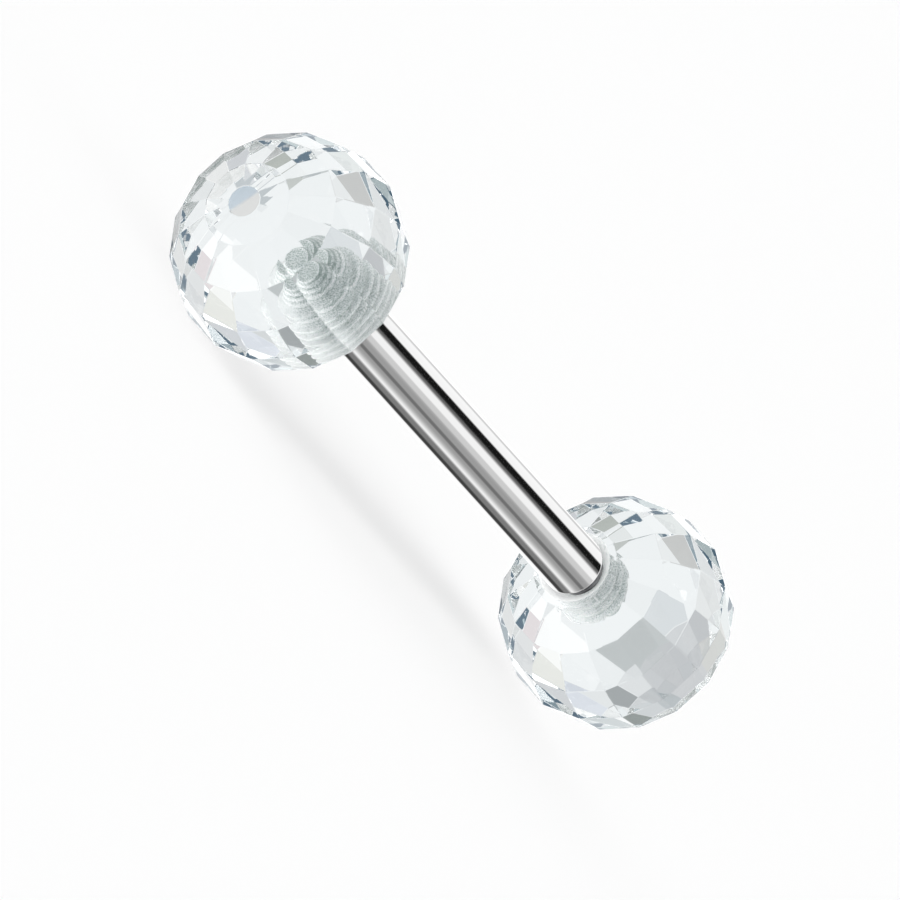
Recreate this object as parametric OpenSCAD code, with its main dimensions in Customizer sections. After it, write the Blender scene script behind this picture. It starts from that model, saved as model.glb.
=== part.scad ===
// A straight barbell: a polished steel bar with a clear faceted ball screwed onto each end.
// The bar's axis lies along X and Z points up. The origin is on the surface that the
// barbell rests on, under the middle of the bar. All sizes are in millimetres.

/* [Bar] */
// Diameter of the polished shaft
shaft_d = 1.6; // [1.4:0.1:2]
// Length of the shaft that shows between the balls
shaft_l = 16; // [6:1:30]
// Diameter of the hidden post on each end of the shaft
post_d = 1.12; // [0.9:0.02:1.16]
// Chamfer on the tip of each post
post_chamfer = 0.15; // [0.05:0.05:0.3]
// Broken edge where the shaft ends in a shoulder
shoulder_chamfer = 0.04; // [0.02:0.01:0.1]

/* [Ball] */
// Diameter of each ball across its corners
ball_d = 6; // [5:0.5:8]
// Facets round the ball
columns = 16; // [12:4:24]
// Rows of facets from pole to pole
rows = 8; // [6:2:10]
// Diameter of the small flat on each pole
pole_flat_d = 0.87; // [0.5:0.01:1.2]
// How far the shaft's shoulder stands off the rim of the hole
shoulder_gap = 0.07; // [0.02:0.01:0.2]

/* [Threaded hole] */
// Diameter of the countersink on the face of the ball
mouth_d = 1.94; // [1.8:0.02:2.4]
// Diameter in the bottom of the thread's grooves
root_d = 1.52; // [1.42:0.02:1.7]
// Diameter over the thread's ridges
crest_d = 1.24; // [1.2:0.02:1.36]
// Distance from one ridge to the next
pitch = 0.35; // [0.25:0.05:0.45]
// Ridges cut along the hole
ridges = 4; // [3:1:5]
// Diameter of the flat floor
floor_d = 0.62; // [0.3:0.02:1]
// Depth of the tapered end between the thread and the floor
taper_l = 0.59; // [0.2:0.01:0.7]
// How far the tip of the post stays short of the taper
tip_gap = 0.05; // [0.02:0.01:0.2]

/* [Hidden] */

ROUND = 96;           // sides asked of a turned surface
FLAT_SHARE = 0.25;    // share of the pitch that is flat, on a ridge and in a groove
CLEAR = 1;            // how far a cutting body reaches out of the ball

ball_r = ball_d / 2;
polar_step = 180 / rows;
column_step = 360 / columns;
flat_polar = asin(pole_flat_d / ball_d);
polars = concat([flat_polar], [for (i = [1 : rows - 1]) i * polar_step], [180 - flat_polar]);

// Height of the ball's face, above its centre, at a radius near the pole
function face_z(r) =
    let (r0 = pole_flat_d / 2, z0 = ball_r * cos(flat_polar),
         r1 = ball_r * sin(polar_step), z1 = ball_r * cos(polar_step))
    z0 + (r - r0) * (z1 - z0) / (r1 - r0);

mouth_z = face_z(mouth_d / 2);
thread_top = mouth_z - (mouth_d - root_d) / 2;
thread_bottom = thread_top - (ridges + FLAT_SHARE) * pitch;
taper_top = thread_bottom - (0.5 - FLAT_SHARE) * pitch;
floor_z = taper_top - taper_l;
ball_x = shaft_l / 2 + mouth_z + shoulder_gap;
post_l = shoulder_gap + mouth_z - taper_top - tip_gap;

// One groove and the ridge under it, as radius and height
function turn(top) = [
    [root_d / 2, top],
    [root_d / 2, top - FLAT_SHARE * pitch],
    [crest_d / 2, top - 0.5 * pitch],
    [crest_d / 2, top - (0.5 + FLAT_SHARE) * pitch]
];

// One end of the bar, from its middle out to the tip of the post
bar_end = [
    [shaft_d / 2, shaft_l / 2 - shoulder_chamfer],
    [shaft_d / 2 - shoulder_chamfer, shaft_l / 2],
    [post_d / 2, shaft_l / 2],
    [post_d / 2, shaft_l / 2 + post_l - post_chamfer],
    [post_d / 2 - post_chamfer, shaft_l / 2 + post_l],
    [0, shaft_l / 2 + post_l]
];

// Turns a body drawn along Z to lie along X, with the lowest corner of each ball at Z 0
module lay_down() {
    translate([0, 0, ball_r]) rotate([0, 90, 0]) children();
}

// The steel bar with its two posts, turned as one piece
module bar() {
    last = len(bar_end) - 1;
    other_end = [for (i = [last : -1 : 0]) [bar_end[i][0], -bar_end[i][1]]];
    color([0.76, 0.76, 0.78])
        lay_down() rotate_extrude($fn = ROUND) polygon(concat(bar_end, other_end));
}

// A ball cut in rows and columns of flat four-sided facets, with a flat on each pole
module faceted_ball() {
    rings = len(polars);
    corners = [for (p = polars) for (k = [0 : columns - 1])
        let (a = k * column_step)
        ball_r * [sin(p) * cos(a), sin(p) * sin(a), cos(p)]];
    sides = [for (i = [0 : rings - 2]) for (k = [0 : columns - 1])
        let (n = (k + 1) % columns)
        [i * columns + k, i * columns + n, (i + 1) * columns + n, (i + 1) * columns + k]];
    top = [for (k = [columns - 1 : -1 : 0]) k];
    bottom = [for (k = [0 : columns - 1]) (rings - 1) * columns + k];
    polyhedron(points = corners, faces = concat([top], sides, [bottom]));
}

// The space of the threaded blind hole, which opens upward through the ball's face
module threaded_hole() {
    outline = concat(
        [[0, mouth_z + CLEAR], [mouth_d / 2 + CLEAR, mouth_z + CLEAR]],
        [for (i = [0 : ridges - 1]) each turn(thread_top - i * pitch)],
        [[root_d / 2, thread_top - ridges * pitch],
         [root_d / 2, thread_bottom],
         [crest_d / 2, taper_top],
         [floor_d / 2, floor_z],
         [0, floor_z]]
    );
    rotate_extrude($fn = ROUND) polygon(outline);
}

// A drilled and threaded ball, laid down with its hole facing +X
module end_ball() {
    color([0.86, 0.92, 0.94])
        translate([-ball_x, 0, 0]) lay_down() difference() {
            faceted_ball();
            threaded_hole();
        }
}

module left_ball() {
    end_ball();
}

module right_ball() {
    mirror([1, 0, 0]) end_ball();
}

bar();
left_ball();
right_ball();
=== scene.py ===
"""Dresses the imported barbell: a polished steel bar with a clear faceted ball on each end.

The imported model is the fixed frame. This script replaces its plain solids with pieces of
the same size that carry the real thread, the cut facets and the finishes, and sets up a
white studio with the camera at the angle of the photograph.
"""

from __future__ import annotations

import logging
import math
from dataclasses import dataclass
from enum import Enum, IntEnum

import bmesh
import bpy
from bpy.types import Material, Mesh, Node, NodeSocket, NodeTree, Object
from mathutils import Matrix, Vector


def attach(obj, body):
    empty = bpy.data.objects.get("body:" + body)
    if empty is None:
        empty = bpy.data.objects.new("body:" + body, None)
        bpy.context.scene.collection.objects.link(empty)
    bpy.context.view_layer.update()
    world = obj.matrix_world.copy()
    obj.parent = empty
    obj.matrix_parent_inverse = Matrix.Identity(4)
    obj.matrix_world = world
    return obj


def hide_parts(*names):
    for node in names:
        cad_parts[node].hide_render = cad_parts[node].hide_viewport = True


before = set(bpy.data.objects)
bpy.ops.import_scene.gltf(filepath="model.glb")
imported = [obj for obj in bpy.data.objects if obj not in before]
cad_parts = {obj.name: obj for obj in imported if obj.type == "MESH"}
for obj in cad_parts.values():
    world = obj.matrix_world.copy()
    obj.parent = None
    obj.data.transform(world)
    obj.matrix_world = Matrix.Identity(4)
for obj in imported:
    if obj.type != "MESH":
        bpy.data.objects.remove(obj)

LOG = logging.getLogger("barbell")
MM = 0.001
MERGE = 1e-5  # points closer than this are one, in millimetres
FULL_TURN = 2 * math.pi
AXIS_HEIGHT = 3.0  # of the bar's axis above the floor, in millimetres
SHAFT_LENGTH = 16.0  # between the balls, in millimetres
ACRYLIC_IOR = 1.49
MOST_BOUNCES = 7  # light still inside a ball after these is trapped
TRAPPED_GLOW_COLOUR = "#3C4E5B"  # and the ball shows it as a painted slate glow in this colour


class Slot(Enum):
    """The record's material slots."""

    STEEL = "polished_steel"
    ACRYLIC = "clear_acrylic"


class End(Enum):
    """An end of the bar, with the CAD node and the body of its ball."""

    LEFT = "left_ball"
    RIGHT = "right_ball"


class Surface(IntEnum):
    """Where each finish sits in a ball's list of materials."""

    FACET = 0
    HOLE = 1
    GATE = 2


def linear(colour: str) -> tuple[float, float, float, float]:
    """Turns an sRGB hex colour to linear.

    Args:
        colour: six hex digits after a hash sign.

    Returns:
        Linear red, green and blue, and an alpha of 1.
    """
    parts = [int(colour[i : i + 2], 16) / 255 for i in (1, 3, 5)]
    red, green, blue = (p / 12.92 if p <= 0.04045 else ((p + 0.055) / 1.055) ** 2.4 for p in parts)
    return red, green, blue, 1.0


def add_node(
    tree: NodeTree,
    kind: str,
    inputs: dict[str | int, object] | None = None,
    **settings: object,
) -> Node:
    """Adds a node with its settings and links.

    Args:
        tree: the node tree that gets the node.
        kind: the node's type name.
        inputs: a value, or an output socket to link, for each named or numbered input.
        settings: values for the node's own properties.

    Returns:
        The new node.
    """
    node = tree.nodes.new(kind)
    for name, value in settings.items():
        setattr(node, name, value)
    for name, value in (inputs or {}).items():
        if isinstance(value, NodeSocket):
            tree.links.new(value, node.inputs[name])
        else:
            node.inputs[name].default_value = value
    return node


def per_metre(size_mm: float) -> float:
    """Texture scale, in object metres, of a pattern that repeats every size_mm."""
    return 1.0 / (size_mm * MM)


def blank_material(name: str) -> tuple[Material, NodeTree]:
    """Makes a material with an empty node tree.

    Args:
        name: the material's name.

    Returns:
        The material and its tree.
    """
    material = bpy.data.materials.new(name)
    material.use_nodes = True
    material.node_tree.nodes.clear()
    return material, material.node_tree


def trapped_glow(tree: NodeTree) -> NodeSocket:
    """Tells light that is still inside a ball after MOST_BOUNCES.

    Each inner reflection of a real ball loses a little. Light that is still inside after these
    is cut off, and the ball glows slate in its place: a painted glow.

    Args:
        tree: a material's node tree.

    Returns:
        A socket with 1 for trapped light and 0 for other light.
    """
    path = add_node(tree, "ShaderNodeLightPath")
    deep = add_node(
        tree,
        "ShaderNodeMath",
        {0: path.outputs["Ray Depth"], 1: MOST_BOUNCES - 0.5},
        operation="GREATER_THAN",
    )
    return deep.outputs["Value"]


def hidden_from_bar(tree: NodeTree) -> NodeSocket:
    """Makes a ball's alpha 0 for light that the steel mirrors, and 1 for all other light.

    The photograph's bar was cut in by itself: it shows the studio right up to the ball.

    Args:
        tree: a material's node tree.

    Returns:
        The alpha's socket.
    """
    path = add_node(tree, "ShaderNodeLightPath")
    side = add_node(tree, "ShaderNodeNewGeometry")
    outside = add_node(
        tree, "ShaderNodeMath", {0: 1.0, 1: side.outputs["Backfacing"]}, operation="SUBTRACT"
    )
    entered = add_node(
        tree,
        "ShaderNodeMath",
        {0: outside.outputs["Value"], 1: path.outputs["Transparent Depth"]},
        operation="ADD",
        use_clamp=True,
    )
    mirrored = add_node(
        tree,
        "ShaderNodeMath",
        {0: path.outputs["Is Reflection Ray"], 1: entered.outputs["Value"]},
        operation="MULTIPLY",
    )
    alpha = add_node(
        tree, "ShaderNodeMath", {0: 1.0, 1: mirrored.outputs["Value"]}, operation="SUBTRACT"
    )
    return alpha.outputs["Value"]


def plain_object(name: str, mesh: Mesh) -> Object:
    """Wraps a mesh in an object at the origin of the scene."""
    obj = bpy.data.objects.new(name, mesh)
    bpy.context.scene.collection.objects.link(obj)
    return obj


@dataclass(frozen=True)
class ThreadForm:
    """A right-hand thread of flat ridges and grooves, wound on a round wall.

    Sizes are in millimetres. A groove, a flank, a ridge and a flank each take a quarter
    of the pitch.
    """

    pitch: float
    groove_r: float
    ridge_r: float
    steps: int = 8  # rings of points in one pitch
    turns: int = 96  # points round one turn

    def radius(self, depth: float, turn: float) -> float:
        """Radius of the wall.

        Args:
            depth: how far along the axis, from the start of the thread.
            turn: share of a full turn round the axis.

        Returns:
            The radius there, between groove_r and ridge_r.
        """
        phase = (depth / self.pitch + turn) % 1.0
        flank = min(max(4 * phase - 1, 0.0), 1.0) - min(max(4 * phase - 3, 0.0), 1.0)
        soft = flank * flank * (3 - 2 * flank)
        return self.groove_r + (self.ridge_r - self.groove_r) * soft

    def depths(self, length: float, turn: float) -> list[float]:
        """Depths of the points at one angle, which follow the helix.

        Args:
            length: length of the threaded wall.
            turn: share of a full turn round the axis.

        Returns:
            One depth for each ring of points, held within the wall.
        """
        rings = math.ceil(length / self.pitch * self.steps) + self.steps
        step = self.pitch / self.steps
        return [min(max(j * step - turn * self.pitch, 0.0), length) for j in range(rings + 1)]


HOLE_THREAD = ThreadForm(pitch=0.35, groove_r=0.76, ridge_r=0.62)
POST_THREAD = ThreadForm(pitch=0.35, groove_r=0.49, ridge_r=0.56, turns=144)


@dataclass(frozen=True)
class PolishedSurgicalSteel:
    """Surgical steel rod, centreless ground and then buffed to a mirror.

    The eye sees sharp, slightly cool reflections, drawn out a little along the bar by
    the last buffing lines.
    """

    colour: str = "#E3E3E3"
    smooth: float = 0.045
    hazy: float = 0.085
    haze_mm: float = 0.9
    line_mm: float = 0.05  # real buffing lines are 0.005 mm apart, too fine to show
    line_height_mm: float = 0.00012
    line_stretch: float = 50.0  # how many times longer than wide a line is

    def material(self) -> Material:
        """Makes the finish.

        Returns:
            The material.
        """
        material, tree = blank_material("polished_surgical_steel")
        place = add_node(tree, "ShaderNodeTexCoord").outputs["Object"]
        haze = add_node(
            tree,
            "ShaderNodeTexNoise",
            {"Vector": place, "Scale": per_metre(self.haze_mm), "Detail": 3.0},
        )
        rough = add_node(
            tree,
            "ShaderNodeMapRange",
            {"Value": haze.outputs["Fac"], "To Min": self.smooth, "To Max": self.hazy},
        )
        drawn_out = add_node(
            tree,
            "ShaderNodeMapping",
            {"Vector": place, "Scale": (1.0 / self.line_stretch, 1.0, 1.0)},
        )
        lines = add_node(
            tree,
            "ShaderNodeTexNoise",
            {
                "Vector": drawn_out.outputs["Vector"],
                "Scale": per_metre(self.line_mm),
                "Detail": 2.0,
            },
        )
        bump = add_node(
            tree,
            "ShaderNodeBump",
            {"Height": lines.outputs["Fac"], "Distance": self.line_height_mm * MM},
        )
        shader = add_node(
            tree,
            "ShaderNodeBsdfPrincipled",
            {
                "Base Color": linear(self.colour),
                "Metallic": 1.0,
                "Roughness": rough.outputs["Result"],
                "Normal": bump.outputs["Normal"],
            },
        )
        add_node(tree, "ShaderNodeOutputMaterial", {"Surface": shader.outputs["BSDF"]})
        return material


@dataclass(frozen=True)
class ThreadedSurgicalSteel:
    """The same steel where a die has cut the thread of each post, which no buff reaches.

    The eye sees dull steel in the gap at the shaft's end. Its dark colour, in random blotches,
    is painted shade for that gap.
    """

    bare: str = "#8C8E90"
    # painted shade: this dark colour stands in for the shade in the gap at the shaft's end
    gap_shade: str = "#3C3D3E"
    roughness: float = 0.45
    shade_blotch_mm: float = 0.12

    def material(self) -> Material:
        """Makes the finish.

        Returns:
            The material.
        """
        material, tree = blank_material("threaded_surgical_steel")
        place = add_node(tree, "ShaderNodeTexCoord").outputs["Object"]
        shade_blotches = add_node(
            tree,
            "ShaderNodeTexNoise",
            {"Vector": place, "Scale": per_metre(self.shade_blotch_mm), "Detail": 2.0},
        )
        # painted shade for the gap, in blotches over the bare steel
        colour = add_node(
            tree,
            "ShaderNodeMix",
            {0: shade_blotches.outputs["Fac"], 6: linear(self.bare), 7: linear(self.gap_shade)},
            data_type="RGBA",
        )
        shader = add_node(
            tree,
            "ShaderNodeBsdfPrincipled",
            {"Base Color": colour.outputs[2], "Metallic": 1.0, "Roughness": self.roughness},
        )
        add_node(tree, "ShaderNodeOutputMaterial", {"Surface": shader.outputs["BSDF"]})
        return material


@dataclass(frozen=True)
class PolishedAcrylic:
    """Cast acrylic, cut in flat facets and lapped until it is clear.

    The eye looks through it: each facet shows another part of the studio, with a trace
    of haze from the lapping.
    """

    colour: str = "#FDFFFF"
    ior: float = ACRYLIC_IOR
    smooth: float = 0.0
    hazy: float = 0.02
    haze_mm: float = 0.12  # the lapping grit leaves marks of 0.01 mm, too fine to show
    haze_range: tuple[float, float] = (0.35, 0.75)  # of the noise, from clear to haziest

    def material(self) -> Material:
        """Makes the finish.

        Returns:
            The material.
        """
        material, tree = blank_material("lapped_clear_acrylic")
        place = add_node(tree, "ShaderNodeTexCoord").outputs["Object"]
        haze = add_node(
            tree,
            "ShaderNodeTexNoise",
            {"Vector": place, "Scale": per_metre(self.haze_mm), "Detail": 4.0, "Roughness": 0.7},
        )
        rough = add_node(
            tree,
            "ShaderNodeMapRange",
            {
                "Value": haze.outputs["Fac"],
                "From Min": self.haze_range[0],
                "From Max": self.haze_range[1],
                "To Min": self.smooth,
                "To Max": self.hazy,
            },
        )
        shader = add_node(
            tree,
            "ShaderNodeBsdfPrincipled",
            {
                "Base Color": linear(self.colour),
                "Transmission Weight": 1.0,
                "IOR": self.ior,
                "Roughness": rough.outputs["Result"],
                "Alpha": hidden_from_bar(tree),
                # painted glow: the ball glows slate where light is cut off inside it
                "Emission Color": linear(TRAPPED_GLOW_COLOUR),
                "Emission Strength": trapped_glow(tree),
            },
        )
        add_node(tree, "ShaderNodeOutputMaterial", {"Surface": shader.outputs["BSDF"]})
        return material


@dataclass(frozen=True)
class TappedAcrylic:
    """The same acrylic where a drill and a tap have torn it.

    The eye sees pale grey frost with a fine grain. Painted shade darkens the thread's ridges,
    so its grooves are palest, and painted light fades all marks to white towards its lower
    side. The hole's tapered end has fine rings from the drill and painted shade, a dull green
    grey that grows towards its upper side, and the hole's floor has painted shade too. A
    painted glow stands in for light that the frost spreads, strongest at the hole's mouth.

    A share is how far a mark goes from the pale colour to the dark one. A place along the
    bar is in millimetres from its middle.
    """

    pale: str = "#FFFFFF"
    dark: str = "#7F918C"
    ior: float = ACRYLIC_IOR
    clear_share: float = 0.2  # of the light, which goes straight through
    roughness: float = 0.7
    thread: ThreadForm = HOLE_THREAD
    # painted shade: how much darker the thread's ridges are than its grooves
    ridge_shade_share: float = 0.25
    grain_share: float = 0.6
    grain_mm: float = 0.03  # the torn grain is 0.02 mm, drawn as coarse as it shows
    grain_range: tuple[float, float] = (0.42, 0.62)  # of the noise, from none to all
    blotch_share: float = 0.12
    blotch_mm: float = 0.4
    blotch_range: tuple[float, float] = (0.4, 0.7)
    # painted shade on the hole's tapered end, more on its upper side
    taper_shade_share: float = 0.45
    taper_shade_at: tuple[float, float] = (9.9, 10.3)  # where it begins, and where it is full
    ring_share: float = 0.42
    ring_mm: float = 0.15  # the drill's feed marks are 0.05 mm apart, too fine to show
    ring_at: tuple[float, float] = (9.85, 9.95)
    # painted shade on the hole's floor, at the bottom of the hole
    floor_shade_share: float = 0.3
    floor_at: float = 10.43
    floor_r: float = 0.3
    floor_rim: float = 0.03  # width over which the floor's painted shade fades out
    lower_side_lit_share: float = 0.35  # painted light: of all the marks, what is left at the thread's lowest side
    glow: float = 0.14  # painted glow for light that comes back after more bounces than are traced
    # painted glow, stronger at the hole's mouth
    mouth_glow: float = 0.6
    mouth_at: tuple[float, float] = (8.55, 8.0)

    def radius(self, tree: NodeTree, place: NodeSocket) -> NodeSocket:
        """Measures the distance from the bar's axis.

        Args:
            tree: the material's node tree.
            place: the point's place in the object.

        Returns:
            The distance's socket, in metres.
        """
        from_axis = add_node(
            tree,
            "ShaderNodeVectorMath",
            {0: place, 1: (0.0, 0.0, AXIS_HEIGHT * MM)},
            operation="SUBTRACT",
        )
        across = add_node(
            tree,
            "ShaderNodeVectorMath",
            {0: from_axis.outputs["Vector"], 1: (0.0, 1.0, 1.0)},
            operation="MULTIPLY",
        )
        distance = add_node(
            tree, "ShaderNodeVectorMath", {0: across.outputs["Vector"]}, operation="LENGTH"
        )
        return distance.outputs["Value"]

    def grain(self, tree: NodeTree, place: NodeSocket) -> NodeSocket:
        """Marks the torn grain, with larger blotches in it.

        Args:
            tree: the material's node tree.
            place: the point's place in the object.

        Returns:
            The share's socket.
        """
        fine = add_node(
            tree,
            "ShaderNodeTexNoise",
            {"Vector": place, "Scale": per_metre(self.grain_mm), "Detail": 1.0},
        )
        speckle = add_node(
            tree,
            "ShaderNodeMapRange",
            {
                "Value": fine.outputs["Fac"],
                "From Min": self.grain_range[0],
                "From Max": self.grain_range[1],
                "To Max": self.grain_share,
            },
        )
        coarse = add_node(
            tree,
            "ShaderNodeTexNoise",
            {"Vector": place, "Scale": per_metre(self.blotch_mm), "Detail": 2.0},
        )
        blotch = add_node(
            tree,
            "ShaderNodeMapRange",
            {
                "Value": coarse.outputs["Fac"],
                "From Min": self.blotch_range[0],
                "From Max": self.blotch_range[1],
                "To Max": self.blotch_share,
            },
        )
        both = add_node(
            tree,
            "ShaderNodeMath",
            {0: blotch.outputs["Result"], 1: speckle.outputs["Result"]},
            operation="ADD",
        )
        return both.outputs["Value"]

    def taper_shade(self, tree: NodeTree, along: NodeSocket, height: NodeSocket) -> NodeSocket:
        """Paints shade on the hole's tapered end, more towards its upper side.

        Args:
            tree: the material's node tree.
            along: distance from the bar's middle, along the bar.
            height: height above the floor that the barbell lies on.

        Returns:
            The share's socket.
        """
        taper = add_node(
            tree,
            "ShaderNodeMapRange",
            {
                "Value": along,
                "From Min": self.taper_shade_at[0] * MM,
                "From Max": self.taper_shade_at[1] * MM,
                "To Max": self.taper_shade_share,
            },
            interpolation_type="SMOOTHSTEP",
        )
        upper = add_node(
            tree,
            "ShaderNodeMapRange",
            {
                "Value": height,
                "From Min": (AXIS_HEIGHT - self.thread.ridge_r) * MM,
                "From Max": (AXIS_HEIGHT + self.thread.ridge_r) * MM,
            },
            interpolation_type="SMOOTHSTEP",
        )
        share = add_node(
            tree,
            "ShaderNodeMath",
            {0: taper.outputs["Result"], 1: upper.outputs["Result"]},
            operation="MULTIPLY",
        )
        return share.outputs["Value"]

    def rings(self, tree: NodeTree, along: NodeSocket) -> NodeSocket:
        """Marks the drill's rings, which are paler lines on the tapered end.

        Args:
            tree: the material's node tree.
            along: distance from the bar's middle, along the bar.

        Returns:
            The socket of the share to take off, which is zero or less.
        """
        phase = add_node(
            tree,
            "ShaderNodeMath",
            {0: along, 1: FULL_TURN * per_metre(self.ring_mm)},
            operation="MULTIPLY",
        )
        swing = add_node(tree, "ShaderNodeMath", {0: phase.outputs["Value"]}, operation="SINE")
        line = add_node(
            tree,
            "ShaderNodeMapRange",
            {
                "Value": swing.outputs["Value"],
                "From Min": -1.0,
                "To Min": -self.ring_share,
                "To Max": 0.0,
            },
        )
        taper = add_node(
            tree,
            "ShaderNodeMapRange",
            {
                "Value": along,
                "From Min": self.ring_at[0] * MM,
                "From Max": self.ring_at[1] * MM,
            },
        )
        share = add_node(
            tree,
            "ShaderNodeMath",
            {0: taper.outputs["Result"], 1: line.outputs["Result"]},
            operation="MULTIPLY",
        )
        return share.outputs["Value"]

    def wall(
        self,
        tree: NodeTree,
        along: NodeSocket,
        height: NodeSocket,
        radius: NodeSocket,
    ) -> NodeSocket:
        """Paints shade on the thread's ridges and on the tapered end, with the drill's rings.

        Args:
            tree: the material's node tree.
            along: distance from the bar's middle, along the bar.
            height: height above the floor that the barbell lies on.
            radius: distance from the bar's axis.

        Returns:
            The share's socket.
        """
        worn = add_node(
            tree,
            "ShaderNodeMath",
            {0: self.taper_shade(tree, along, height), 1: self.rings(tree, along)},
            operation="ADD",
        )
        # painted shade on the thread's ridges
        ridge = add_node(
            tree,
            "ShaderNodeMapRange",
            {
                "Value": radius,
                "From Min": self.thread.groove_r * MM,
                "From Max": self.thread.ridge_r * MM,
                "To Max": self.ridge_shade_share,
            },
        )
        share = add_node(
            tree,
            "ShaderNodeMath",
            {0: worn.outputs["Value"], 1: ridge.outputs["Result"]},
            operation="ADD",
        )
        return share.outputs["Value"]

    def shade(self, tree: NodeTree, place: NodeSocket) -> NodeSocket:
        """Adds up the marks on the hole's wall and floor.

        Args:
            tree: the material's node tree.
            place: the point's place in the object.

        Returns:
            The share's socket, from 0 for pale to 1 for dark.
        """
        radius = self.radius(tree, place)
        parts = add_node(tree, "ShaderNodeSeparateXYZ", {"Vector": place})
        height = parts.outputs["Z"]
        middle = add_node(tree, "ShaderNodeMath", {0: parts.outputs["X"]}, operation="ABSOLUTE")
        along = middle.outputs["Value"]
        # painted shade: the hole's floor darker, fading out at its rim
        floor = add_node(
            tree,
            "ShaderNodeMapRange",
            {
                "Value": radius,
                "From Min": self.floor_r * MM,
                "From Max": (self.floor_r - self.floor_rim) * MM,
                "To Max": self.floor_shade_share,
            },
        )
        on_floor = add_node(
            tree, "ShaderNodeMath", {0: along, 1: self.floor_at * MM}, operation="GREATER_THAN"
        )
        smooth = add_node(
            tree,
            "ShaderNodeMix",
            {
                0: on_floor.outputs["Value"],
                2: self.wall(tree, along, height, radius),
                3: floor.outputs["Result"],
            },
        )
        torn = add_node(
            tree,
            "ShaderNodeMath",
            {0: smooth.outputs[0], 1: self.grain(tree, place)},
            operation="ADD",
        )
        # painted light: the marks fade towards the hole's lower side
        least = add_node(
            tree,
            "ShaderNodeMapRange",
            {
                "Value": along,
                "From Min": self.taper_shade_at[0] * MM,
                "From Max": self.taper_shade_at[1] * MM,
                "To Min": self.lower_side_lit_share,
            },
        )
        lit_from_below = add_node(
            tree,
            "ShaderNodeMapRange",
            {
                "Value": height,
                "From Min": (AXIS_HEIGHT - self.thread.groove_r) * MM,
                "From Max": AXIS_HEIGHT * MM,
                "To Min": least.outputs["Result"],
            },
        )
        share = add_node(
            tree,
            "ShaderNodeMath",
            {0: torn.outputs["Value"], 1: lit_from_below.outputs["Result"]},
            operation="MULTIPLY",
            use_clamp=True,
        )
        return share.outputs["Value"]

    def painted_glow(self, tree: NodeTree, place: NodeSocket) -> NodeSocket:
        """Works out the frost's painted glow, which stands in for light it spreads.

        Args:
            tree: the material's node tree.
            place: the point's place in the object.

        Returns:
            The glow's socket.
        """
        parts = add_node(tree, "ShaderNodeSeparateXYZ", {"Vector": place})
        along = add_node(tree, "ShaderNodeMath", {0: parts.outputs["X"]}, operation="ABSOLUTE")
        light = add_node(
            tree,
            "ShaderNodeMapRange",
            {
                "Value": along.outputs["Value"],
                "From Min": self.mouth_at[0] * MM,
                "From Max": self.mouth_at[1] * MM,
                "To Min": self.glow,
                "To Max": self.mouth_glow,
            },
        )
        return light.outputs["Result"]

    def material(self) -> Material:
        """Makes the finish.

        Returns:
            The material.
        """
        material, tree = blank_material("tapped_acrylic")
        material.cycles.emission_sampling = "NONE"  # too faint to light anything else
        place = add_node(tree, "ShaderNodeTexCoord").outputs["Object"]
        colour = add_node(
            tree,
            "ShaderNodeMix",
            {0: self.shade(tree, place), 6: linear(self.pale), 7: linear(self.dark)},
            data_type="RGBA",
        )
        shader = add_node(
            tree,
            "ShaderNodeBsdfPrincipled",
            {
                "Base Color": colour.outputs[2],
                "Transmission Weight": self.clear_share,
                "IOR": self.ior,
                "Roughness": self.roughness,
                "Alpha": hidden_from_bar(tree),
                # painted glow in the frost's own colour
                "Emission Color": colour.outputs[2],
                "Emission Strength": self.painted_glow(tree, place),
            },
        )
        add_node(tree, "ShaderNodeOutputMaterial", {"Surface": shader.outputs["BSDF"]})
        return material


@dataclass(frozen=True)
class GateMark:
    """The acrylic where the moulding gate was cut off and only roughly lapped.

    The eye sees a faint disc on the ball's outer pole, half of it cool and half warm. The two
    halves are painted light: the cool half is darker than the warm one.
    """

    # painted light: the cool half darker than the warm one, split across the bar
    cool: str = "#B4C2D0"
    warm: str = "#DEDBD8"
    blend_mm: float = 0.1
    ior: float = ACRYLIC_IOR
    smooth: float = 0.08
    hazy: float = 0.22
    haze_mm: float = 0.06  # the lapping grit left marks of 0.02 mm, too fine to show

    def material(self) -> Material:
        """Makes the finish.

        Returns:
            The material.
        """
        material, tree = blank_material("acrylic_gate_mark")
        place = add_node(tree, "ShaderNodeTexCoord").outputs["Object"]
        haze = add_node(
            tree,
            "ShaderNodeTexNoise",
            {"Vector": place, "Scale": per_metre(self.haze_mm), "Detail": 2.0},
        )
        rough = add_node(
            tree,
            "ShaderNodeMapRange",
            {"Value": haze.outputs["Fac"], "To Min": self.smooth, "To Max": self.hazy},
        )
        parts = add_node(tree, "ShaderNodeSeparateXYZ", {"Vector": place})
        half = add_node(
            tree,
            "ShaderNodeMapRange",
            {
                "Value": parts.outputs["Y"],
                "From Min": -self.blend_mm / 2 * MM,
                "From Max": self.blend_mm / 2 * MM,
            },
        )
        colour = add_node(
            tree,
            "ShaderNodeMix",
            {0: half.outputs["Result"], 6: linear(self.warm), 7: linear(self.cool)},
            data_type="RGBA",
        )
        shader = add_node(
            tree,
            "ShaderNodeBsdfPrincipled",
            {
                "Base Color": colour.outputs[2],
                "Transmission Weight": 1.0,
                "IOR": self.ior,
                "Roughness": rough.outputs["Result"],
                "Alpha": hidden_from_bar(tree),
                # painted glow: the ball glows slate where light is cut off inside it
                "Emission Color": linear(TRAPPED_GLOW_COLOUR),
                "Emission Strength": trapped_glow(tree),
            },
        )
        add_node(tree, "ShaderNodeOutputMaterial", {"Surface": shader.outputs["BSDF"]})
        return material


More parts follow.
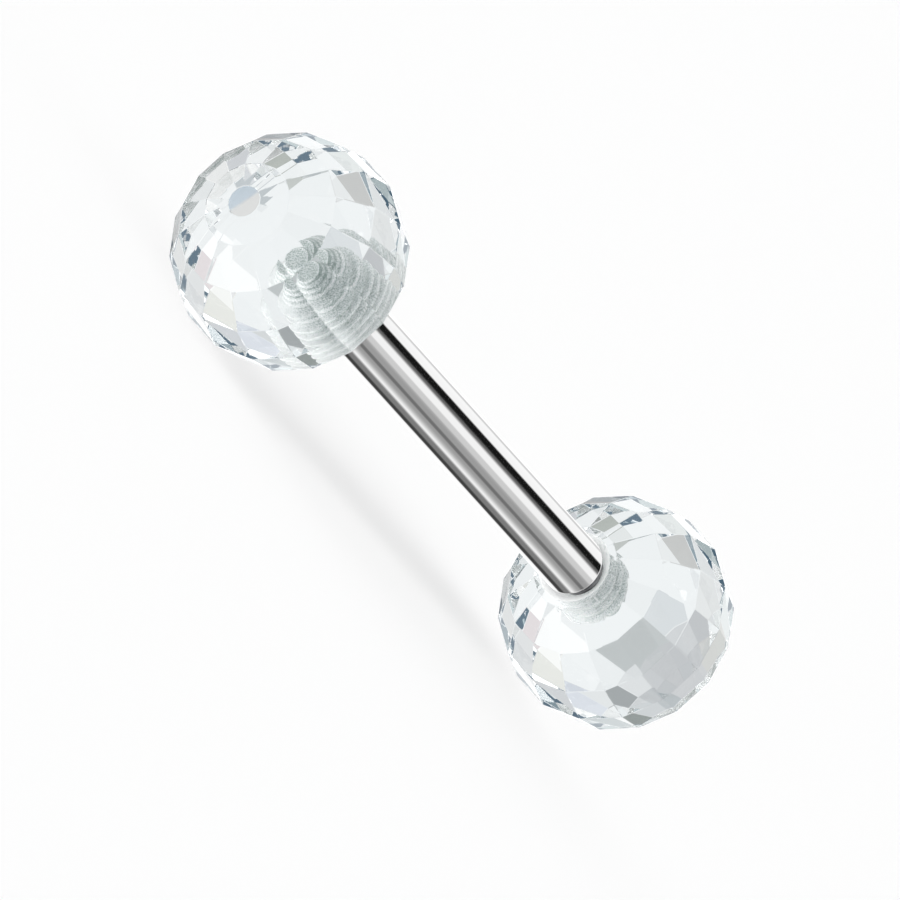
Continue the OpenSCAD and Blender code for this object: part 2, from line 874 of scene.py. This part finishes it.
def skin(columns: list[list[tuple[float, float]]]) -> bmesh.types.BMesh:
    """Skins a closed turned body from its outline at each angle.

    Args:
        columns: for each angle of one turn, first and last included, the outline as
            radius and height. All have the same number of points.

    Returns:
        A mesh in millimetres round the Z axis, with its ends closed.
    """
    mesh = bmesh.new()
    last = len(columns) - 1
    grid = []
    for i, column in enumerate(columns):
        a = FULL_TURN * i / last
        grid.append([mesh.verts.new((r * math.cos(a), r * math.sin(a), z)) for r, z in column])
    for left, right in zip(grid, grid[1:]):
        for j in range(len(left) - 1):
            mesh.faces.new((left[j], right[j], right[j + 1], left[j + 1]))
    for j in (0, -1):
        mesh.faces.new([column[j] for column in grid[:-1]])
    bmesh.ops.remove_doubles(mesh, verts=mesh.verts, dist=MERGE)
    bmesh.ops.recalc_face_normals(mesh, faces=mesh.faces)
    return mesh


@dataclass
class SteelBar:
    """The bar: a mirror-bright shaft with a threaded post on each end."""

    shaft_d: float = 1.6
    shaft_l: float = SHAFT_LENGTH
    edge: float = 0.04  # radius of the rounded edge at the shoulder
    edge_steps: int = 3
    neck_d: float = 1.0
    neck_l: float = 0.1
    post_l: float = 1.805
    tip_chamfer: float = 0.15
    crease: float = 40.0  # degrees, from which an edge looks sharp
    thread: ThreadForm = POST_THREAD
    finish: PolishedSurgicalSteel = PolishedSurgicalSteel()
    thread_finish: ThreadedSurgicalSteel = ThreadedSurgicalSteel()

    def half_outline(self, turn: float) -> list[tuple[float, float]]:
        """Outline of one half of the bar at one angle.

        Args:
            turn: share of a full turn round the axis.

        Returns:
            Radius and height of each point, from the bar's middle to the post's tip.
        """
        r, half = self.shaft_d / 2, self.shaft_l / 2
        points = [(r, 0.0), (r, half - 2 * self.edge)]  # keeps the shading of the shaft straight
        for k in range(self.edge_steps + 1):
            a = math.radians(90 / self.edge_steps * k)
            inward, short = self.edge * (1 - math.cos(a)), self.edge * (1 - math.sin(a))
            points.append((r - inward, half - short))
        points += [(self.neck_d / 2, half), (self.neck_d / 2, half + self.neck_l)]
        length = self.post_l - self.neck_l
        for depth in self.thread.depths(length, turn):
            z = half + self.neck_l + depth
            chamfered = self.thread.ridge_r - max(depth - length + self.tip_chamfer, 0.0)
            points.append((min(self.thread.radius(depth, turn), chamfered), z))
        return points

    def mesh(self) -> Mesh:
        """Builds the bar along Z, from two halves that are the same.

        Returns:
            The mesh, in millimetres.
        """
        turns = self.thread.turns
        half = skin([self.half_outline(i / turns) for i in range(turns + 1)])
        middle = [f for f in half.faces if all(abs(v.co.z) < MERGE for v in f.verts)]
        bmesh.ops.delete(half, geom=middle, context="FACES_ONLY")
        other = bmesh.ops.duplicate(half, geom=half.verts[:] + half.edges[:] + half.faces[:])
        verts = [g for g in other["geom"] if isinstance(g, bmesh.types.BMVert)]
        half_turn = Matrix.Rotation(math.pi, 3, "X")
        bmesh.ops.rotate(half, verts=verts, cent=(0, 0, 0), matrix=half_turn)
        bmesh.ops.remove_doubles(half, verts=half.verts, dist=MERGE)
        bmesh.ops.recalc_face_normals(half, faces=half.faces)
        for face in half.faces:
            face.smooth = len(face.verts) == 4
            beyond_shoulder = min(abs(v.co.z) for v in face.verts) > self.shaft_l / 2 - MERGE
            face.material_index = int(beyond_shoulder)
        mesh = bpy.data.meshes.new("steel_bar")
        half.to_mesh(mesh)
        half.free()
        mesh.set_sharp_from_angle(angle=math.radians(self.crease))
        return mesh

    def build(self) -> Object:
        """Builds, dresses and mounts the bar.

        Returns:
            The bar, which rides on the bar's body.
        """
        mesh = self.mesh()
        lay = Matrix.Translation((0, 0, AXIS_HEIGHT)) @ Matrix.Rotation(math.pi / 2, 4, "Y")
        mesh.transform(Matrix.Scale(MM, 4) @ lay)
        mesh.materials.append(self.finish.material())
        mesh.materials.append(self.thread_finish.material())
        bar = plain_object("steel_bar", mesh)
        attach(bar, "bar")
        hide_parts("bar")
        return bar


@dataclass
class FacetedBall:
    """A clear ball in rows of flat facets, with a threaded blind hole in one pole."""

    end: End
    ball_r: float = 3.0
    columns: int = 16
    rows: int = 8
    pole_flat_r: float = 0.435
    edge: float = 0.012  # lapping leaves the edges between facets this blunt
    mouth_r: float = 0.97
    thread: ThreadForm = HOLE_THREAD
    flat_share: float = 0.25  # of the pitch, on a ridge and in a groove
    ridges: int = 4
    floor_r: float = 0.31
    taper_l: float = 0.59
    shoulder_gap: float = 0.07
    shaft_l: float = SHAFT_LENGTH
    clear: float = 1.0  # how far the drilled space reaches out of the ball
    crease: float = 50.0  # degrees, from which an edge looks sharp

    @property
    def mouth_z(self) -> float:
        """Height of the hole's rim above the ball's centre."""
        flat = math.asin(self.pole_flat_r / self.ball_r)
        first = math.pi / self.rows
        r0, z0 = self.pole_flat_r, self.ball_r * math.cos(flat)
        r1, z1 = self.ball_r * math.sin(first), self.ball_r * math.cos(first)
        return z0 + (self.mouth_r - r0) * (z1 - z0) / (r1 - r0)

    def cut_ball(self) -> Mesh:
        """Cuts the ball's facets, with blunt edges and a flat on each pole.

        Returns:
            The mesh, in millimetres round the Z axis.
        """
        flat = math.asin(self.pole_flat_r / self.ball_r)
        step = math.pi / self.rows
        polars = [flat] + [step * i for i in range(1, self.rows)] + [math.pi - flat]
        ball = bmesh.new()
        rings = []
        for p in polars:
            ring = []
            for k in range(self.columns):
                a = FULL_TURN * k / self.columns
                x, y = math.sin(p) * math.cos(a), math.sin(p) * math.sin(a)
                ring.append(ball.verts.new(self.ball_r * Vector((x, y, math.cos(p)))))
            rings.append(ring)
        ball.faces.new(rings[0])
        for upper, lower in zip(rings, rings[1:]):
            for k in range(self.columns):
                n = (k + 1) % self.columns
                ball.faces.new((upper[k], lower[k], lower[n], upper[n]))
        gate = ball.faces.new(rings[-1][::-1])
        gate.material_index = Surface.GATE
        bmesh.ops.recalc_face_normals(ball, faces=ball.faces)
        bmesh.ops.bevel(
            ball,
            geom=ball.edges[:],
            offset=self.edge,
            offset_type="OFFSET",
            segments=1,
            affect="EDGES",
            clamp_overlap=True,
        )
        mesh = bpy.data.meshes.new(self.end.value)
        ball.to_mesh(mesh)
        ball.free()
        return mesh

    def hole_outline(self, turn: float) -> list[tuple[float, float]]:
        """Outline of the space of the hole at one angle.

        Args:
            turn: share of a full turn round the axis.

        Returns:
            Radius and height of each point, from above the mouth down to the floor.
        """
        start = self.mouth_z - (self.mouth_r - self.thread.groove_r)
        length = (self.ridges + self.flat_share) * self.thread.pitch
        points = [(self.mouth_r + self.clear, self.mouth_z + self.clear)]
        for depth in self.thread.depths(length, turn):
            countersink = self.thread.groove_r - depth
            points.append((max(self.thread.radius(depth, turn), countersink), start - depth))
        taper = start - length - (0.5 - self.flat_share) * self.thread.pitch
        points += [(self.thread.ridge_r, taper), (self.floor_r, taper - self.taper_l)]
        return points

    def hole(self) -> Mesh:
        """Builds the space of the hole as a closed body.

        Returns:
            The mesh, in millimetres round the Z axis.
        """
        turns = self.thread.turns
        body = skin([self.hole_outline(i / turns) for i in range(turns + 1)])
        for face in body.faces:
            face.smooth = len(face.verts) <= 4
        mesh = bpy.data.meshes.new("threaded_hole")
        body.to_mesh(mesh)
        body.free()
        return mesh

    def build(self, finishes: list[Material]) -> Object:
        """Builds, drills, dresses and mounts the ball.

        Args:
            finishes: a material for each Surface, in order.

        Returns:
            The ball, which rides on the body of its own end.
        """
        ball = plain_object("clear_" + self.end.value, self.cut_ball())
        for finish in finishes:
            ball.data.materials.append(finish)
        tool = plain_object("threaded_hole", self.hole())
        tool.data.materials.append(finishes[Surface.HOLE])
        drill = ball.modifiers.new("drill", "BOOLEAN")
        drill.object, drill.operation = tool, "DIFFERENCE"
        drill.solver, drill.material_mode = "EXACT", "TRANSFER"
        bpy.context.view_layer.update()
        drilled = ball.evaluated_get(bpy.context.evaluated_depsgraph_get())
        mesh = bpy.data.meshes.new_from_object(drilled)
        ball.modifiers.clear()
        ball.data = mesh
        bpy.data.objects.remove(tool)
        across = self.shaft_l / 2 + self.mouth_z + self.shoulder_gap
        lay = Matrix.Translation((-across, 0, AXIS_HEIGHT)) @ Matrix.Rotation(math.pi / 2, 4, "Y")
        if self.end is End.RIGHT:
            lay = Matrix.Rotation(math.pi, 4, "Z") @ lay
        mesh.transform(Matrix.Scale(MM, 4) @ lay)
        mesh.set_sharp_from_angle(angle=math.radians(self.crease))
        for face in mesh.polygons:
            face.use_smooth = face.material_index == Surface.HOLE
        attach(ball, self.end.value)
        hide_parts(self.end.value)
        return ball


@dataclass
class PhotoCamera:
    """A long lens that looks at the barbell from the photograph's angle."""

    off_axis: float = 34.2  # degrees between the bar and the line of sight
    above: float = 11.25  # degrees round the bar, from level up to the facing column
    slant: float = 132.15  # degrees from the picture's right to the near end of the bar
    width: float = 22.64  # millimetres across the picture, at the bar's middle
    distance: float = 950.0
    centre_px: tuple[float, float] = (454.35, 433.77)  # the bar's middle in the picture
    picture_px: int = 900
    sensor: float = 36.0
    clip: tuple[float, float] = (0.01, 10.0)  # metres

    def axes(self) -> tuple[Vector, Vector, Vector]:
        """Finds the camera's axes.

        Returns:
            Unit vectors to the picture's right, to its top and towards the camera.
        """
        tilt, above, slant = (math.radians(v) for v in (self.off_axis, self.above, self.slant))
        back = Vector(
            (
                -math.cos(tilt),
                -math.sin(tilt) * math.cos(above),
                math.sin(tilt) * math.sin(above),
            )
        )
        near = Vector((-1, 0, 0))
        near = (near - near.dot(back) * back).normalized()
        side = back.cross(near)
        right = math.cos(slant) * near - math.sin(slant) * side
        top = math.sin(slant) * near + math.cos(slant) * side
        return right, top, back

    def build(self) -> Object:
        """Places the camera.

        Returns:
            The camera, set as the scene's own.
        """
        right, top, back = self.axes()
        per_px = self.width / self.picture_px
        half = self.picture_px / 2
        aim = Vector((0, 0, AXIS_HEIGHT))
        aim -= right * (self.centre_px[0] - half) * per_px
        aim += top * (self.centre_px[1] - half) * per_px
        data = bpy.data.cameras.new("photo_camera")
        data.sensor_width = self.sensor
        data.lens = self.sensor * self.distance / self.width
        data.clip_start, data.clip_end = self.clip
        camera = bpy.data.objects.new("photo_camera", data)
        bpy.context.scene.collection.objects.link(camera)
        turn = Matrix((right, top, back)).transposed().to_4x4()
        camera.matrix_world = Matrix.Translation((aim + back * self.distance) * MM) @ turn
        bpy.context.scene.camera = camera
        return camera


@dataclass(frozen=True)
class Card:
    """A soft-edged round card or lamp that stands in the light tent.

    It is placed as a photographer would: by its angle off the backdrop behind the
    barbell, and by its clock angle in the picture, anticlockwise from the right. Its even
    middle has the radius reach and its soft edge the width fade, all in degrees. It covers
    the cards that come before it.
    """

    name: str
    off_backdrop: float
    clock: float
    reach: float
    fade: float
    colour: str
    level: float = 1.0


@dataclass
class Studio:
    """A white light tent with grey and black cards in it, and a pale floor.

    The photograph joins two pictures: what its bar mirrors and what its balls show can't
    be the same surroundings. So one set of cards is what shows through the balls. The other
    lights the floor, and both the bar and the outside of the balls mirror it.
    """

    camera: PhotoCamera
    ball_light: float = 1.12
    ball_cards: tuple[Card, ...] = (
        Card("lamp_left", 95, 150, 25, 30, "#FFFFFF", 1.5),
        Card("lamp_below_left", 100, 225, 18, 25, "#FFFFFF", 3.5),
        Card("backdrop", 0, 0, 50, 20, "#F2F4F5"),
        Card("bright_patch_of_backdrop", 28, 22, 9, 8, "#FFFFFF", 1.06),
        Card("camera_side", 180, 0, 34, 26, "#C3CFD2"),
        Card("blue_side_above", 120, 95, 10, 14, "#D0E4EA"),
        Card("grey_flag_upper_left", 41, 138, 12, 18, "#BFC1C4"),
        Card("grey_flag_left", 38, 170, 4, 6, "#BCBEC1"),
        Card("beige_grey_flag_left", 55, 161, 5, 7, "#C6C6C2"),
        Card("light_card_far_left", 61, 175, 3, 5, "#DFE4E4"),
        Card("grey_flag_above_left", 48, 117, 3, 6, "#A6ADB1"),
        Card("light_grey_card_left", 41, 188, 3, 6, "#DADBDB"),
        Card("small_flag_above", 36, 87, 3, 5, "#A0A4A6"),
        Card("grey_flag_top", 64, 85, 3, 6, "#AEB7BA"),
        Card("green_grey_flag_above", 59, 101, 4, 4, "#545F5A"),
        Card("small_flag_middle", 12, 122, 7.5, 4.5, "#C3C7C8"),
        Card("light_card_middle", 16, 190, 3, 4, "#D6DADD"),
        Card("green_grey_flag_below", 33, 268, 3, 5, "#ABB0AB"),
        Card("grey_flag_low", 48, 266, 3, 5, "#AEB4B5"),
        Card("grey_flag_lower_left", 38, 222, 4, 6, "#C2C2C1"),
        Card("pink_card_right", 32, 11, 3, 4, "#E4DCDE"),
        Card("light_grey_side_right", 50, 37, 14, 6, "#DDDEDF"),
        Card("lavender_card_upper_right", 45, 67, 5, 6, "#DCE0E8"),
        Card("beige_card_upper_right", 36, 45, 4, 5, "#E9E9E4"),
        Card("light_grey_card_right", 58, 3, 4, 6, "#D3D4D4"),
        Card("blue_grey_card_low", 29, 298, 3, 4, "#BDC3C7"),
        Card("light_grey_card_low", 47, 298, 4, 5, "#D8DADE"),
        Card("light_card_low_left", 59, 239, 4, 6, "#E4E7E6"),
        Card("grey_table_edge", 92, 282, 14, 12, "#BCC5CB"),
        Card("grey_flag_below", 70, 290, 6, 10, "#A0A0A1"),
        Card("grey_side_right", 105, 8, 10, 14, "#AFBEC2"),
        Card("dark_flag_right", 104, 9, 5, 7, "#66787B"),
        Card("slate_flag_upper_right", 140, 38, 12, 14, "#7E929C"),
        Card("camera_and_its_hood", 152, 298, 6, 9, "#37444E"),
        Card("blue_grey_side_below", 118, 285, 14, 14, "#B4BFC4"),
    )
    bar_light: float = 1.15
    # The first eight are seen only from the sides, the back and the top
    bar_cards: tuple[Card, ...] = (
        Card("grey_side_in_front", 121, 285, 26, 20, "#5E5E60"),
        Card("grey_side_behind", 56, 132, 12, 16, "#7A7A7C"),
        Card("grey_side_beyond_the_far_end", 21, 134, 10, 8, "#6A6A6C"),
        Card("black_flag_beyond_the_far_end", 47, 40, 8, 8, "#222222"),
        Card("grey_table_beyond_the_far_end", 48, 225, 10, 9, "#8A8A8C"),
        Card("grey_card_by_the_near_end", 103, 136, 8, 14, "#8C8C8E"),
        Card("grey_flag_by_the_near_end", 120, 82, 9, 12, "#7A7A7A"),
        Card("dark_table_edge_by_the_near_end", 114, 191, 12, 16, "#505052"),
        Card("black_flag_by_the_near_end", 158, 30, 5, 9, "#1E1E1E"),
        Card("grey_side_of_strip", 43, 258, 6, 8, "#898989"),
        Card("dark_strip", 34, 249, 3, 6, "#464646"),
        Card("grey_table", 66, 294, 7, 18, "#AEAEAE"),
        Card("thin_dark_line", 65, 292, 1, 4, "#7C7C7C"),
        Card("light_grey_band", 68, 316, 3, 4, "#E4E4E4"),
        Card("soft_side_of_black_flag", 60, 345, 2.5, 8, "#6E6E6E"),
        Card("black_flag", 55, 352, 5.5, 4, "#1A1A1A"),
        Card("light_grey_card", 22, 25, 2, 5, "#DDDDDD"),
    )
    floor_size: float = 6000.0
    floor_colour: str = "#FDFDFD"
    floor_roughness: float = 0.9
    background: str = "#FFFFFF"

    def tent(self, tree: NodeTree, level: float, cards: tuple[Card, ...]) -> NodeSocket:
        """Paints the inside of the tent and its cards on the world.

        Args:
            tree: the world's node tree.
            level: brightness of the tent's white cloth.
            cards: the cards, each over those before it.

        Returns:
            The socket with the light's colour in each direction.
        """
        right, top, back = self.camera.axes()
        toward = add_node(tree, "ShaderNodeTexCoord").outputs["Generated"]
        colour = add_node(tree, "ShaderNodeRGB").outputs["Color"]
        colour.default_value = (level, level, level, 1.0)
        for card in cards:
            off, clock = math.radians(card.off_backdrop), math.radians(card.clock)
            aim = -back * math.cos(off)
            aim += (right * math.cos(clock) + top * math.sin(clock)) * math.sin(off)
            near = add_node(
                tree, "ShaderNodeVectorMath", {0: toward, 1: aim}, operation="DOT_PRODUCT"
            )
            share = add_node(
                tree,
                "ShaderNodeMapRange",
                {
                    "Value": near.outputs["Value"],
                    "From Min": math.cos(math.radians(card.reach + card.fade)),
                    "From Max": math.cos(math.radians(card.reach)),
                },
                interpolation_type="SMOOTHSTEP",
            )
            tint = [card.level * c for c in linear(card.colour)[:3]] + [1.0]
            mixed = add_node(
                tree,
                "ShaderNodeMix",
                {0: share.outputs["Result"], 6: colour, 7: tint},
                data_type="RGBA",
                label=card.name,
            )
            colour = mixed.outputs[2]
        return colour

    def light(self) -> None:
        """Lights the scene with the tent, and shows the camera a plain background."""
        world = bpy.data.worlds.new("light_tent")
        bpy.context.scene.world = world
        world.use_nodes = True
        tree = world.node_tree
        tree.nodes.clear()
        path = add_node(tree, "ShaderNodeLightPath")
        bar_tent, ball_tent, plain = (
            add_node(tree, "ShaderNodeBackground", {"Color": colour}).outputs["Background"]
            for colour in (
                self.tent(tree, self.bar_light, self.bar_cards),
                self.tent(tree, self.ball_light, self.ball_cards),
                linear(self.background),
            )
        )
        tents = add_node(
            tree,
            "ShaderNodeMixShader",
            {0: path.outputs["Is Transmission Ray"], 1: bar_tent, 2: ball_tent},
        )
        seen = add_node(
            tree,
            "ShaderNodeMixShader",
            {0: path.outputs["Is Camera Ray"], 1: tents.outputs["Shader"], 2: plain},
        )
        add_node(tree, "ShaderNodeOutputWorld", {"Surface": seen.outputs["Shader"]})
        world.cycles.sampling_method = "NONE"

    def floor(self) -> Object:
        """Lays the pale floor.

        Returns:
            The floor, which takes shadows and is left out of the balls' own images.
        """
        sheet = bmesh.new()
        bmesh.ops.create_grid(sheet, x_segments=1, y_segments=1, size=self.floor_size / 2 * MM)
        mesh = bpy.data.meshes.new("pale_floor")
        sheet.to_mesh(mesh)
        sheet.free()
        material, tree = blank_material("pale_floor")
        shader = add_node(
            tree,
            "ShaderNodeBsdfPrincipled",
            {
                "Base Color": linear(self.floor_colour),
                "Roughness": self.floor_roughness,
                "Specular IOR Level": 0.0,
            },
        )
        add_node(tree, "ShaderNodeOutputMaterial", {"Surface": shader.outputs["BSDF"]})
        mesh.materials.append(material)
        floor = plain_object("pale_floor", mesh)
        floor.visible_transmission = False
        floor.visible_glossy = False
        return floor

    def build(self) -> None:
        """Sets up the light, the floor and how light is traced through the balls."""
        self.light()
        self.floor()
        scene = bpy.context.scene
        scene.view_settings.view_transform = "Standard"
        scene.cycles.max_bounces = MOST_BOUNCES
        scene.cycles.transmission_bounces = MOST_BOUNCES
        scene.cycles.glossy_bounces = MOST_BOUNCES
        scene.cycles.diffuse_bounces = MOST_BOUNCES


def main() -> None:
    """Builds the pieces and the studio, and reports each piece."""
    logging.basicConfig(level=logging.INFO, format="%(name)s: %(message)s")
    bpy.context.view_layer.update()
    finishes = [finish.material() for finish in (PolishedAcrylic(), TappedAcrylic(), GateMark())]
    pieces = [SteelBar().build()]
    pieces += [FacetedBall(end).build(finishes) for end in End]
    camera = PhotoCamera()
    camera.build()
    Studio(camera).build()
    for piece in pieces:
        LOG.info("%s: %d faces", piece.name, len(piece.data.polygons))


if __name__ == "__main__":
    main()
